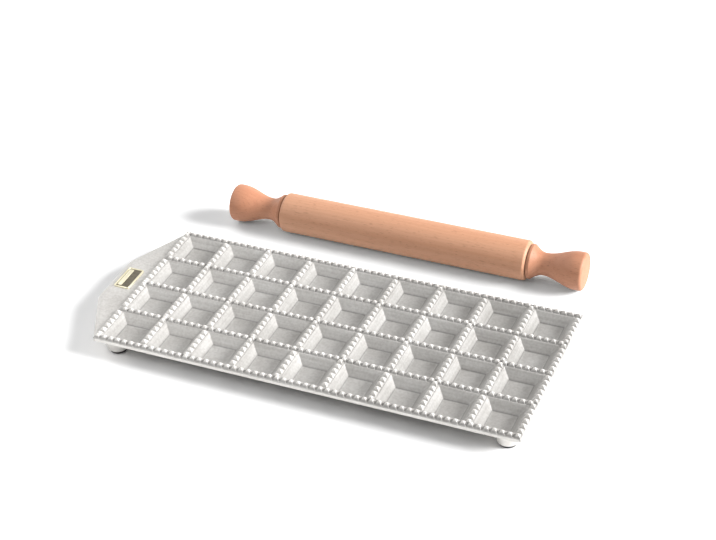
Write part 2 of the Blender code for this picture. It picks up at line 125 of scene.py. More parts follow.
camera_data = bpy.data.cameras.new("camera")
camera_data.lens = LENS
camera_data.sensor_width = SENSOR_WIDTH
camera_data.clip_start = NEAREST_SEEN
camera = linked("camera", camera_data)
camera.location = CAMERA_PLACE
camera.rotation_euler = CAMERA_TURN
bpy.context.scene.camera = camera
print("camera", tuple(round(value, 3) for value in camera.location))

# %% [markdown]
# ## Helpers for meshes
# Most pieces here are either turned on a lathe or built from stacked outlines, and one short
# helper covers each way. A profile with sharp corners is first softened, because neither a
# casting nor sanded wood has a corner without a small radius, and that radius catches light.

# %% Soften a profile, or curve it
SOFTEN_STEPS = 3


def soften(profile, setbacks):
    """Rounds each inner corner of a profile with a short curve of the given setback."""
    points = [Vector(profile[0])]
    for index in range(1, len(profile) - 1):
        corner = Vector(profile[index])
        setback = setbacks[index - 1]
        to_last = (Vector(profile[index - 1]) - corner).normalized()
        to_next = (Vector(profile[index + 1]) - corner).normalized()
        start = corner + to_last * setback
        end = corner + to_next * setback
        for step in range(SOFTEN_STEPS + 1):
            share = step / SOFTEN_STEPS
            first = start.lerp(corner, share)
            second = corner.lerp(end, share)
            points.append(first.lerp(second, share))
    points.append(Vector(profile[-1]))
    return points


def eased(start, end, steps, ease):
    """Points from one (distance, radius) to another, whose radius follows an easing."""
    points = []
    for step in range(1, steps + 1):
        share = step / steps
        distance = start[0] + (end[0] - start[0]) * share
        points.append(Vector((distance, start[1] + (end[1] - start[1]) * ease(share))))
    return points


print("a soft corner has", len(soften([(0, 0), (1, 0), (1, 1)], (0.1,))) - 2, "points")

# %% Turn a profile round the X or the Z axis
MERGE_TURNED = 1e-6


def stored(name, mesh):
    """Turns a working mesh into mesh data."""
    data = bpy.data.meshes.new(name)
    mesh.to_mesh(data)
    mesh.free()
    return data


def turned(name, profile, steps, axis="X", closed=False):
    """Makes a mesh by turning (distance along the axis, radius) points."""
    mesh = bmesh.new()
    verts = []
    for distance, radius in profile:
        place = (distance, 0.0, radius) if axis == "X" else (radius, 0.0, distance)
        verts.append(mesh.verts.new(place))
    edges = [mesh.edges.new(pair) for pair in zip(verts, verts[1:])]
    if closed:
        edges.append(mesh.edges.new((verts[-1], verts[0])))
    turn_axis = (1.0, 0.0, 0.0) if axis == "X" else (0.0, 0.0, 1.0)
    bmesh.ops.spin(
        mesh, geom=verts + edges, cent=(0.0, 0.0, 0.0), axis=turn_axis,
        angle=2 * math.pi, steps=steps, use_merge=True, use_duplicate=False,
    )
    bmesh.ops.remove_doubles(mesh, verts=mesh.verts, dist=MERGE_TURNED)
    bmesh.ops.recalc_face_normals(mesh, faces=mesh.faces)
    return stored(name, mesh)


# %% Stack outlines into a closed shape
def join_loops(mesh, loops):
    """Draws a band of faces between each loop of vertices and the next."""
    for loop, next_loop in zip(loops, loops[1:]):
        for index in range(len(loop)):
            following = (index + 1) % len(loop)
            mesh.faces.new((loop[index], loop[following], next_loop[following], next_loop[index]))


def stacked(name, outlines):
    """Makes a closed mesh from outlines that all have the same number of points."""
    mesh = bmesh.new()
    loops = [[mesh.verts.new(point) for point in outline] for outline in outlines]
    mesh.faces.new(loops[0])
    mesh.faces.new(loops[-1])
    join_loops(mesh, loops)
    bmesh.ops.recalc_face_normals(mesh, faces=mesh.faces)
    return stored(name, mesh)


# %% Put a finished mesh in the scene, with its place in the mesh
SMOOTH_ANGLE = math.radians(32)


def add_piece(name, data, place, finish, sharp_angle=SMOOTH_ANGLE):
    data.transform(Matrix.Translation(place))
    data.materials.clear()
    data.materials.append(finish)
    data.shade_smooth()
    data.set_sharp_from_angle(angle=sharp_angle)
    print(name, len(data.polygons), "faces")
    return linked(name, data)


def add_second_finish(piece, finish, belongs):
    """Gives another finish to the faces of a piece that pass a test."""
    piece.data.materials.append(finish)
    for face in piece.data.polygons:
        if belongs(face):
            face.material_index = 1


# %% [markdown]
# ## Helpers for materials
# Every finish starts from the same shader with a few plain values on its own sockets, and short
# helpers keep the node code small. The patterns all read Object coordinates, which here are
# metres on the real piece, so a scale of 1000 is one feature per millimetre. One helper tells
# what the camera sees from the light that only passes by, for the floor, the wood and the world.

# %% Start a material
def start_finish(name, roughness, metallic):
    finish = bpy.data.materials.new(name)
    finish.use_nodes = True
    tree = finish.node_tree
    shader = tree.nodes["Principled BSDF"]
    shader.inputs["Roughness"].default_value = roughness
    shader.inputs["Metallic"].default_value = metallic
    coordinates = tree.nodes.new("ShaderNodeTexCoord")
    return finish, tree, shader, coordinates.outputs["Object"]


# %% Noise, ramps and mixes
WHITE = (1.0, 1.0, 1.0)
EVEN = (1, 1, 1)


def grey(level):
    return (level, level, level)


def add_noise(tree, source, stretch, scale=1.0, detail=3.0, move=(0.0, 0.0, 0.0)):
    """Noise whose cells are stretched along each axis by a mapping."""
    mapping = tree.nodes.new("ShaderNodeMapping")
    mapping.inputs["Location"].default_value = move
    mapping.inputs["Scale"].default_value = stretch
    noise = tree.nodes.new("ShaderNodeTexNoise")
    noise.inputs["Scale"].default_value = scale
    noise.inputs["Detail"].default_value = detail
    tree.links.new(source, mapping.inputs["Vector"])
    tree.links.new(mapping.outputs["Vector"], noise.inputs["Vector"])
    return noise.outputs["Fac"]


def add_ramp(tree, value, stops):
    """Colours a value by a ramp of (position, colour) stops."""
    ramp = tree.nodes.new("ShaderNodeValToRGB")
    elements = ramp.color_ramp.elements
    elements.remove(elements[-1])
    elements[0].position = stops[0][0]
    elements[0].color = (*stops[0][1], 1.0)
    for position, colour in stops[1:]:
        elements.new(position).color = (*colour, 1.0)
    tree.links.new(value, ramp.inputs["Fac"])
    return ramp.outputs["Color"]


def mix_colour(tree, first, second, share, blend="MIX"):
    mix = tree.nodes.new("ShaderNodeMix")
    mix.data_type = "RGBA"
    mix.blend_type = blend
    if isinstance(share, float):
        mix.inputs["Factor"].default_value = share
    else:
        tree.links.new(share, mix.inputs["Factor"])
    tree.links.new(first, mix.inputs["A"])
    tree.links.new(second, mix.inputs["B"])
    return mix.outputs["Result"]


def spread(tree, value, low, high):
    """Moves a value from 0..1 to low..high."""
    node = tree.nodes.new("ShaderNodeMapRange")
    node.inputs["To Min"].default_value = low
    node.inputs["To Max"].default_value = high
    tree.links.new(value, node.inputs["Value"])
    return node.outputs["Result"]


# %% Relief, and what is seen directly
def add_bump(tree, shader, height, strength, distance, before=None):
    bump = tree.nodes.new("ShaderNodeBump")
    bump.inputs["Strength"].default_value = strength
    bump.inputs["Distance"].default_value = distance
    tree.links.new(height, bump.inputs["Height"])
    if before:
        tree.links.new(before, bump.inputs["Normal"])
    tree.links.new(bump.outputs["Normal"], shader.inputs["Normal"])
    return bump.outputs["Normal"]


def seen_directly(tree):
    """One where the camera, a reflection or a view through glass looks, and zero for the light."""
    path = tree.nodes.new("ShaderNodeLightPath")
    total = path.outputs["Is Camera Ray"]
    for label in ("Is Glossy Ray", "Is Transmission Ray"):
        add = tree.nodes.new("ShaderNodeMath")
        add.operation = "ADD"
        add.use_clamp = True
        tree.links.new(total, add.inputs[0])
        tree.links.new(path.outputs[label], add.inputs[1])
        total = add.outputs[0]
    return total


# %% [markdown]
# ## Cast aluminium
# The tray is poured in one piece and then tumbled, which leaves a pale satin skin: soft clouds of
# lighter and darker metal, a fine grain, and on the pocket walls thin level lines left by the
# cutter that made the pattern. One noise is squeezed hard along Z to draw those lines, so they
# run level round every wall and vanish on flat floors. A picture of scratched metal would be
# quicker, but it can't follow the walls.
#
# Tumbling also rubs what stands out, and on this tray what stands out is simply what stands high.
# A ramp over the height above the table carries that rubbing together with painted shade and
# painted highlight: bright tips, a darker land between the teeth, and a dark line at the foot of
# each wall, where shade falls. The rim, the tab and the rows of teeth across the tray each have the
# same metal with a ramp of its own, which paints light on the skirt, the legs, the rolled edge of
# the tab and the land between the teeth across the tray.

# %% Rubbing and painted shade by height, as (height, brightness) pairs
# Painted shade: the dark line just above the floor and the dark land between the teeth. Painted
# highlight, together with rubbing: the bright tips.
WEAR_AND_SHADE_BY_HEIGHT = [
    (0.0000, 0.64), (FLOOR - 0.0004, 0.64), (FLOOR + 0.0001, 0.61), (FLOOR + 0.0004, 0.30),
    (FLOOR + 0.0013, 0.50), (LAND - 0.0010, 0.54), (LAND + 0.0001, 0.58),
    (LAND + 0.0003, 0.39), (LAND + 0.0009, 0.48), (LAND + 0.0015, 0.83), (TIP_HEIGHT, 1.00),
]
# Painted light and shade for the rows of teeth across the tray: a lighter land between the teeth than
# in the rows along it, and bright tips.
ACROSS_TEETH_LIGHT_AND_SHADE = [
    (LAND, 0.68), (LAND + 0.0004, 0.59), (LAND + 0.0010, 0.75), (TIP_HEIGHT, 1.00),
]
# Painted light: the rolled edge under the tab is lighter than its top.
TAB_PAINTED_LIGHT_BY_HEIGHT = [
    (0.0000, 1.00), (TAB_TOP - 0.0018, 1.00), (TAB_TOP - 0.0001, 0.73), (TIP_HEIGHT, 0.73),
]
# Painted light on the skirt and the legs, which stand in the tray's shade, and painted shade just
# under the teeth.
RIM_LIGHT_AND_SHADE_BY_HEIGHT = [
    (0.0000, 1.00), (LAND - 0.0012, 1.00), (LAND - 0.0004, 0.92), (LAND, 0.64), (TIP_HEIGHT, 0.83),
]
print("wear runs over", len(WEAR_AND_SHADE_BY_HEIGHT), "heights up to", TIP_HEIGHT)

# %% Cast aluminium
CLOUD_SCALE = 45.0
LINE_STRETCH = (16, 16, 820)
SAND_SCALE = 620.0
GRAIN_SCALE = 2100.0
CLOUD_COLOURS = [(0.30, (0.800, 0.776, 0.742)), (0.70, (0.930, 0.910, 0.880))]
LINE_COLOURS = [(0.34, (0.76, 0.75, 0.74)), (0.62, WHITE)]
SAND_COLOURS = [(0.32, (0.78, 0.77, 0.76)), (0.62, WHITE)]
CAST_SHINE = (0.34, 0.52)
# Each relief is a strength and a depth.
LINE_RELIEF = (0.35, 0.00016)
SAND_RELIEF = (0.40, 0.00014)
GRAIN_RELIEF = (0.35, 0.00006)


def make_cast_aluminium(name, wear_and_shade_by_height, line_share=0.60, sand_share=0.70, metal=0.25):
    finish, tree, shader, place = start_finish(name, 0.42, metal)
    clouds = add_noise(tree, place, EVEN, CLOUD_SCALE, detail=4.0)
    lines = add_noise(tree, place, LINE_STRETCH)
    sand = add_noise(tree, place, EVEN, SAND_SCALE)
    grain = add_noise(tree, place, EVEN, GRAIN_SCALE, detail=2.0)
    split = tree.nodes.new("ShaderNodeSeparateXYZ")
    height = tree.nodes.new("ShaderNodeMapRange")
    height.inputs["From Max"].default_value = TIP_HEIGHT
    tree.links.new(place, split.inputs["Vector"])
    tree.links.new(split.outputs["Z"], height.inputs["Value"])
    # The height ramp carries rubbing together with painted shade and painted highlight.
    wear_and_shade_stops = [(z / TIP_HEIGHT, grey(level)) for z, level in wear_and_shade_by_height]
    wear_and_shade = add_ramp(tree, height.outputs["Result"], wear_and_shade_stops)
    cloud_colour = add_ramp(tree, clouds, CLOUD_COLOURS)
    line_colour = add_ramp(tree, lines, LINE_COLOURS)
    sand_colour = add_ramp(tree, sand, SAND_COLOURS)
    colour = mix_colour(tree, cloud_colour, wear_and_shade, 1.0, "MULTIPLY")
    colour = mix_colour(tree, colour, line_colour, line_share, "MULTIPLY")
    colour = mix_colour(tree, colour, sand_colour, sand_share, "MULTIPLY")
    tree.links.new(colour, shader.inputs["Base Color"])
    tree.links.new(spread(tree, clouds, *CAST_SHINE), shader.inputs["Roughness"])
    normal = add_bump(tree, shader, lines, *LINE_RELIEF)
    normal = add_bump(tree, shader, sand, *SAND_RELIEF, normal)
    add_bump(tree, shader, grain, *GRAIN_RELIEF, normal)
    return finish


cast_aluminium = make_cast_aluminium("cast aluminium", WEAR_AND_SHADE_BY_HEIGHT)
# Painted light: the rim finish lifts the skirt and the legs, and its fewer lines and less sand make it
# paler still.
rim_with_painted_light = make_cast_aluminium(
    "rim painted light", RIM_LIGHT_AND_SHADE_BY_HEIGHT, line_share=0.20, sand_share=0.25, metal=0.45,
)
# The tab's finish paints its rolled edge lighter than its top.
tab_aluminium = make_cast_aluminium("tab painted light", TAB_PAINTED_LIGHT_BY_HEIGHT)
# Painted light and shade on the rows of teeth across the tray.
across_teeth_painted_aluminium = make_cast_aluminium("across teeth painted light", ACROSS_TEETH_LIGHT_AND_SHADE)
print("made", cast_aluminium.name, rim_with_painted_light.name, tab_aluminium.name, across_teeth_painted_aluminium.name)

# %% [markdown]
# ## Beech
# The rolling pin is unvarnished beech: pinkish brown, with faint growth rings along its length
# and thousands of short dark flecks, which are the wood's rays. The rings here are real rings
# about a line beside the pin, as if the blank were split from a trunk. The side then shows long
# soft bands and the end shows arcs, without any seam between the two.
#
# Wood on a white table throws a pink glow into its own shadow. A photographer balances that away,
# so here the light that leaves the wood for other surfaces is a plain grey of the same depth.

# %% Beech
RING_STRETCH = (0.12, 1.0, 1.0)
RING_SCALE = 120.0
RING_WANDER = 9.0
BAND_STRETCH = (3.0, 75, 75)
FLECK_STRETCH = (230, 1500, 1500)
FIBRE_STRETCH = (40, 2600, 2600)
RING_COLOURS = [(0.0, (0.730, 0.370, 0.222)), (1.0, (0.790, 0.430, 0.268))]
BAND_COLOURS = [(0.30, (0.680, 0.340, 0.200)), (0.70, (0.840, 0.480, 0.310))]
FLECK_COLOURS = [(0.24, (0.62, 0.52, 0.46)), (0.40, WHITE)]
FIBRE_COLOURS = [(0.30, (0.90, 0.88, 0.86)), (0.65, WHITE)]
BAND_SHARE = 0.62
FLECK_SHARE = 0.55
FIBRE_SHARE = 0.60
BEECH_SHINE = (0.46, 0.62)
FIBRE_RELIEF = (0.20, 0.00006)
FLECK_RELIEF = (0.15, 0.00006)
WOOD_BOUNCE = (0.44, 0.41, 0.39)


def toned(stops, tone):
    """The same stops with each colour multiplied by the tone."""
    tinted = []
    for position, colour in stops:
        tinted.append((position, tuple(level * share for level, share in zip(colour, tone))))
    return tinted


def make_beech(name, heart, seed_move, tone):
    finish, tree, shader, place = start_finish(name, 0.55, 0.0)
    mapping = tree.nodes.new("ShaderNodeMapping")
    mapping.inputs["Location"].default_value = -(PIN_CENTRE + Vector(heart))
    mapping.inputs["Scale"].default_value = RING_STRETCH
    rings = tree.nodes.new("ShaderNodeTexWave")
    rings.wave_type = "RINGS"
    rings.rings_direction = "X"
    rings.inputs["Scale"].default_value = RING_SCALE
    rings.inputs["Distortion"].default_value = RING_WANDER
    rings.inputs["Detail"].default_value = 3.0
    rings.inputs["Detail Scale"].default_value = 0.5
    tree.links.new(place, mapping.inputs["Vector"])
    tree.links.new(mapping.outputs["Vector"], rings.inputs["Vector"])
    bands = add_noise(tree, place, BAND_STRETCH, move=seed_move)
    flecks = add_noise(tree, place, FLECK_STRETCH, detail=1.0, move=seed_move)
    fibres = add_noise(tree, place, FIBRE_STRETCH, detail=2.0)
    ring_colour = add_ramp(tree, rings.outputs["Fac"], toned(RING_COLOURS, tone))
    band_colour = add_ramp(tree, bands, toned(BAND_COLOURS, tone))
    fleck_colour = add_ramp(tree, flecks, FLECK_COLOURS)
    fibre_colour = add_ramp(tree, fibres, FIBRE_COLOURS)
    colour = mix_colour(tree, ring_colour, band_colour, BAND_SHARE)
    colour = mix_colour(tree, colour, fleck_colour, FLECK_SHARE, "MULTIPLY")
    colour = mix_colour(tree, colour, fibre_colour, FIBRE_SHARE, "MULTIPLY")
    bounce = tree.nodes.new("ShaderNodeRGB")
    bounce.outputs["Color"].default_value = (*WOOD_BOUNCE, 1.0)
    colour = mix_colour(tree, bounce.outputs["Color"], colour, seen_directly(tree))
    tree.links.new(colour, shader.inputs["Base Color"])
    tree.links.new(spread(tree, bands, *BEECH_SHINE), shader.inputs["Roughness"])
    normal = add_bump(tree, shader, fibres, *FIBRE_RELIEF)
    add_bump(tree, shader, flecks, *FLECK_RELIEF, normal)
    return finish


# %% Barrel and handles, each from its own place in the wood
BARREL_TONE = (1.00, 0.98, 0.96)
HANDLE_TONE = (0.83, 0.71, 0.67)
BARREL_HEART = (0.0, 0.030, 0.022)
LEFT_HEART = (0.0, -0.021, 0.016)
RIGHT_HEART = (0.0, 0.014, -0.026)
barrel_beech = make_beech("barrel beech", BARREL_HEART, (0.0, 0.0, 0.0), BARREL_TONE)
left_beech = make_beech("left handle beech", LEFT_HEART, (0.31, 0.13, 0.0), HANDLE_TONE)
right_beech = make_beech("right handle beech", RIGHT_HEART, (0.17, 0.29, 0.11), HANDLE_TONE)
print("made", barrel_beech.name, left_beech.name, right_beech.name)

# %% [markdown]
# ## Rubber, steel, nylon and brass
# These show only a little: the feet under the corners, the axle and bushes in the gaps beside
# the barrel, and a small plain plate on the tab. Each still gets its own grain and a roughness
# that varies, because a perfectly even surface reads as unfinished even when it is small. One
# function makes them all, and only its colours, its shine and its scale change.

# %% Small finishes
MARK_STRENGTH = 0.25
MARK_DEPTH = 0.00005
SHINE_RANGE = 0.08


def make_small_finish(name, dark, light, roughness, metallic, scale, stretch=EVEN):
    finish, tree, shader, place = start_finish(name, roughness, metallic)
    marks = add_noise(tree, place, stretch, scale)
    colour = add_ramp(tree, marks, [(0.30, dark), (0.70, light)])
    tree.links.new(colour, shader.inputs["Base Color"])
    varied = spread(tree, marks, roughness - SHINE_RANGE, roughness + SHINE_RANGE)
    tree.links.new(varied, shader.inputs["Roughness"])
    add_bump(tree, shader, marks, MARK_STRENGTH, MARK_DEPTH)
    return finish


black_rubber = make_small_finish(
    "black rubber", (0.010, 0.010, 0.011), (0.024, 0.024, 0.025),
    roughness=0.72, metallic=0.0, scale=900.0,
)
axle_steel = make_small_finish(
    "drawn steel", (0.50, 0.50, 0.51), (0.66, 0.66, 0.67),
    roughness=0.32, metallic=1.0, scale=1.0, stretch=(20, 2200, 2200),
)
bush_nylon = make_small_finish(
    "nylon", (0.78, 0.76, 0.70), (0.86, 0.84, 0.79),
    roughness=0.48, metallic=0.0, scale=700.0,
)
plate_brass = make_small_finish(
    "pale brass", (0.60, 0.54, 0.36), (0.82, 0.78, 0.62),
    roughness=0.36, metallic=0.70, scale=1.0, stretch=(1500, 60, 1500),
)
plate_enamel = make_small_finish(
    "dark enamel", (0.060, 0.048, 0.028), (0.130, 0.110, 0.070),
    roughness=0.30, metallic=0.0, scale=500.0,
)
small_finishes = [black_rubber, axle_steel, bush_nylon, plate_brass, plate_enamel]
print("made", ", ".join(finish.name for finish in small_finishes))

# %% [markdown]
# ## One pocket
# A pocket is an upside-down cut pyramid with a soft lip, four drawn walls and a flat floor. On
# the underside the same pocket stands down as a bump. One cell of the grid is made from stacked
# rounded squares, top and bottom, and stays open at its borders so that its neighbours can join.

# %% Draw rounded squares
CORNER_SIGNS = ((1, 1), (-1, 1), (-1, -1), (1, -1))
CORNER_STEPS = 4


def rounded_square(half_x, half_y, radius, height):
    points = []
    for quarter, (sign_x, sign_y) in enumerate(CORNER_SIGNS):
        centre = Vector((sign_x * (half_x - radius), sign_y * (half_y - radius), height))
        for step in range(CORNER_STEPS + 1):
            angle = math.radians(90 * (quarter + step / CORNER_STEPS))
            points.append(centre + Vector((math.cos(angle), math.sin(angle), 0.0)) * radius)
    return points


def inset_outlines(half_x, half_y, levels, corner, shrink=0.0):
    """A rounded outline for each (inset, height). Corners shrink by a share of the inset."""
    outlines = []
    for inset, height in levels:
        radius = corner - inset * shrink
        outlines.append(rounded_square(half_x - inset, half_y - inset, radius, height))
    return outlines


print("a rounded square has", len(rounded_square(1.0, 1.0, 0.1, 0.0)), "points")

# %% Build one cell of the grid
LIP_FLAT = 0.0009
LIP_SETBACK = 0.0004
POCKET_SETBACK = 0.0008
POCKET_CORNER = 0.0007
BUMP_LIP_FLAT = 0.0012
BUMP_LIP_SETBACK = 0.0008
BUMP_SETBACK = 0.0010
BUMP_CORNER = 0.0011
MIDDLE_FLAT = 0.0022


def add_cell_side(mesh, profile, radius, border_height):
    """One side of a cell: its square border, then the stacked outlines, then a flat middle."""
    half_x, half_y = PITCH / 2, PITCH_ACROSS / 2
    border = [mesh.verts.new((x * half_x, y * half_y, border_height)) for x, y in CORNER_SIGNS]
    outlines = inset_outlines(half_x, half_y, profile, radius)
    loops = [[mesh.verts.new(point) for point in outline] for outline in outlines]
    per_corner = CORNER_STEPS + 1
    first = loops[0]
    for corner in range(4):
        start = corner * per_corner
        for step in range(CORNER_STEPS):
            mesh.faces.new((border[corner], first[start + step + 1], first[start + step]))
        following = (corner + 1) % 4
        last = start + CORNER_STEPS
        mesh.faces.new((border[corner], border[following], first[following * per_corner], first[last]))
    join_loops(mesh, loops)
    mesh.faces.new(loops[-1])


def bump_inset(height):
    return MOUTH_INSET + WALL_SLOPE * (LAND - height) - SIDE_WALL


def build_cell():
    mesh = bmesh.new()
    top = [
        (MOUTH_INSET - LIP_FLAT, LAND), (MOUTH_INSET, LAND),
        (FLOOR_INSET, FLOOR), (FLOOR_INSET + MIDDLE_FLAT, FLOOR),
    ]
    add_cell_side(mesh, soften(top, (LIP_SETBACK, POCKET_SETBACK)), POCKET_CORNER, LAND)
    low_inset = bump_inset(BUMP)
    web_inset = bump_inset(WEB)
    under = [
        (web_inset - BUMP_LIP_FLAT, WEB), (web_inset, WEB),
        (low_inset, BUMP), (low_inset + MIDDLE_FLAT, BUMP),
    ]
    add_cell_side(mesh, soften(under, (BUMP_LIP_SETBACK, BUMP_SETBACK)), BUMP_CORNER, WEB)
    cell = linked("pocket_cell", stored("pocket_cell", mesh))
    print("one pocket cell:", len(cell.data.polygons), "faces")
    return cell


pocket_cell = build_cell()

# %% [markdown]
# ## Repeating with Geometry Nodes
# The grid of pockets and the rows of teeth both repeat, so Geometry Nodes make them. Each tree
# is built here with named inputs, run once, and turned into a plain mesh. An Array modifier
# could repeat the pockets, but not the teeth, whose rows are shifted by half a step in turn.

# %% Tools for node trees
def start_tree(name, inputs):
    """A geometry tree with named inputs. Returns the tree, its nodes and the input identifiers."""
    tree = bpy.data.node_groups.new(name, "GeometryNodeTree")
    tree.interface.new_socket(name="Geometry", in_out="INPUT", socket_type="NodeSocketGeometry")
    tree.interface.new_socket(name="Geometry", in_out="OUTPUT", socket_type="NodeSocketGeometry")
    identifiers = {}
    for label, kind in inputs:
        socket_type = "NodeSocket" + kind
        socket = tree.interface.new_socket(name=label, in_out="INPUT", socket_type=socket_type)
        identifiers[label] = socket.identifier
    source = tree.nodes.new("NodeGroupInput")
    result = tree.nodes.new("NodeGroupOutput")
    return tree, source, result, identifiers


def wire(tree, rows):
    """Links an output of one node to an input of another, for each row of the list."""
    for giver, output, taker, entry in rows:
        tree.links.new(giver.outputs[output], taker.inputs[entry])


def run_tree(host, tree, identifiers, values):
    """Runs a tree on an object, returns the result as a plain mesh and removes the object."""
    modifier = host.modifiers.new(tree.name, "NODES")
    modifier.node_group = tree
    for label, value in values.items():
        modifier[identifiers[label]] = value
    evaluated = host.evaluated_get(bpy.context.evaluated_depsgraph_get())
    data = bpy.data.meshes.new_from_object(evaluated)
    host.modifiers.remove(modifier)
    bpy.data.objects.remove(host)
    print(tree.name, len(data.polygons), "faces")
    return data


def new_host(name, points=()):
    data = bpy.data.meshes.new(name)
    data.from_pydata(list(points), [], [])
    return linked(name, data)


# %% The field of pockets
MERGE_CELLS = 1e-5


def pocket_field_tree():
    tree, source, result, identifiers = start_tree("pocket field", [
        ("Columns", "Int"),
        ("Rows", "Int"),
        ("Span Along", "Float"),
        ("Span Across", "Float"),
        ("Cell", "Object"),
        ("Finish", "Material"),
    ])
    grid = tree.nodes.new("GeometryNodeMeshGrid")
    cell = tree.nodes.new("GeometryNodeObjectInfo")
    place = tree.nodes.new("GeometryNodeInstanceOnPoints")
    realize = tree.nodes.new("GeometryNodeRealizeInstances")
    merge = tree.nodes.new("GeometryNodeMergeByDistance")
    coat = tree.nodes.new("GeometryNodeSetMaterial")
    merge.inputs["Distance"].default_value = MERGE_CELLS
    wire(tree, [
        (source, "Columns", grid, "Vertices X"),
        (source, "Rows", grid, "Vertices Y"),
        (source, "Span Along", grid, "Size X"),
        (source, "Span Across", grid, "Size Y"),
        (source, "Cell", cell, "Object"),
        (grid, "Mesh", place, "Points"),
        (cell, "Geometry", place, "Instance"),
        (place, "Instances", realize, "Geometry"),
        (realize, "Geometry", merge, "Geometry"),
        (merge, "Geometry", coat, "Geometry"),
        (source, "Finish", coat, "Material"),
        (coat, "Geometry", result, "Geometry"),
    ])
    return tree, identifiers


field_mesh = run_tree(new_host("field_host"), *pocket_field_tree(), {
    "Columns": COLUMNS,
    "Rows": ROWS,
    "Span Along": (COLUMNS - 1) * PITCH,
    "Span Across": (ROWS - 1) * PITCH_ACROSS,
    "Cell": pocket_cell,
    "Finish": cast_aluminium,
})
field_mesh.transform(Matrix.Translation((LENGTH / 2, WIDTH / 2, 0.0)))
bpy.data.objects.remove(pocket_cell)

# %% [markdown]
# ## Skirt, tab and legs
# The casting ends in a plain skirt with rounded corners, a grab tab whose edge rolls down, and
# four short legs. The skirt is drawn out from the open border of the pocket field, ring by ring,
# so the tray stays one closed skin. The tab and the legs are closed shapes that run into it, the
# way bosses do on a casting. A leg stands partly under a corner pocket, so a Boolean cuts away
# what would come through the pocket's wall.

# %% Draw the skirt out from the border, as (reach, height) pairs
SKIRT_PROFILE = [
    (RIM - 0.0005, LAND),
    (RIM - 0.0001, LAND - 0.0001),
    (RIM, LAND - 0.0004),
    (RIM + SKIRT_DRAFT, SKIRT_HEIGHT + 0.0009),
    (RIM + SKIRT_DRAFT - 0.0002, SKIRT_HEIGHT + 0.0003),
    (RIM + SKIRT_DRAFT - 0.0008, SKIRT_HEIGHT),
    (RIM - SKIRT_WALL + 0.0006, SKIRT_HEIGHT),
    (RIM - SKIRT_WALL + 0.0001, SKIRT_HEIGHT + 0.0003),
]
FAN_STEPS = 6


def outward(point):
    """The ways out from a border point: one on a side of the tray, a fan of them at a corner."""
    edge = PITCH / 10
    x = -1 if point.x < edge else 1 if point.x > LENGTH - edge else 0
    y = -1 if point.y < edge else 1 if point.y > WIDTH - edge else 0
    if not (x and y):
        return [Vector((x, y, 0.0))]
    start = math.atan2(y, x) - math.pi / 4
    angles = [start + math.pi / 2 * step / FAN_STEPS for step in range(FAN_STEPS + 1)]
    return [Vector((math.cos(angle), math.sin(angle), 0.0)) for angle in angles]


def round_the_tray(vert):
    return math.atan2(vert.co.y - WIDTH / 2, (vert.co.x - LENGTH / 2) * WIDTH / LENGTH)


def add_skirt(mesh):
    border = [vert for vert in mesh.verts if vert.is_boundary]
    halfway = (LAND + WEB) / 2
    upper, lower, ways = [], [], []
    for vert in sorted((vert for vert in border if vert.co.z > halfway), key=round_the_tray):
        for way in outward(vert.co):
            upper.append(vert)
            ways.append(way)
    for vert in sorted((vert for vert in border if vert.co.z < halfway), key=round_the_tray):
        lower += [vert] * len(outward(vert.co))
    rings = [upper]
    for reach, height in SKIRT_PROFILE:
        flat = [vert.co + way * reach for vert, way in zip(upper, ways)]
        rings.append([mesh.verts.new((place.x, place.y, height)) for place in flat])
    rings.append(lower)
    for ring, next_ring in zip(rings, rings[1:]):
        for index in range(len(ring)):
            following = (index + 1) % len(ring)
            loop = [ring[following], ring[index], next_ring[index], next_ring[following]]
            mesh.faces.new(list(dict.fromkeys(loop)))


# %% Close the tray and give its rim another finish
RIM_START = RIM - 0.0003
TRAY_MIDDLE = GRID_CORNER + Vector((LENGTH / 2, WIDTH / 2, 0.0))


def build_tray():
    mesh = bmesh.new()
    mesh.from_mesh(field_mesh)
    add_skirt(mesh)
    bmesh.ops.recalc_face_normals(mesh, faces=mesh.faces)
    print("tray open edges:", sum(1 for edge in mesh.edges if edge.is_boundary))
    return stored("cast_tray", mesh)


def on_the_rim(face):
    away = face.center - TRAY_MIDDLE
    return max(abs(away.x) - LENGTH / 2, abs(away.y) - WIDTH / 2) > RIM_START


tray = add_piece("cast_tray", build_tray(), GRID_CORNER, cast_aluminium)
# The rim of the tray takes the finish with painted light.
add_second_finish(tray, rim_with_painted_light, on_the_rim)

# %% The grab tab
TAB_REACH = 0.0255
TAB_END_HALF = 0.0240
TAB_CORNER = 0.0150
TAB_ROLL = 0.0050
TAB_THICKNESS = 0.0032
TAB_EDGE = 0.0006
TAB_SIDE_STEP = 0.0003
TAB_ARC_STEPS = 14
ROLL_STEPS = 8


def round_corner(before, corner, after, radius):
    to_before = (before - corner).normalized()
    to_after = (after - corner).normalized()
    half_angle = to_before.angle(to_after) / 2
    centre = corner + (to_before + to_after).normalized() * (radius / math.sin(half_angle))
    setback = radius / math.tan(half_angle)
    start = corner + to_before * setback - centre
    end = corner + to_after * setback - centre
    steps = range(TAB_ARC_STEPS + 1)
    return [centre + start.slerp(end, step / TAB_ARC_STEPS) * radius for step in steps]


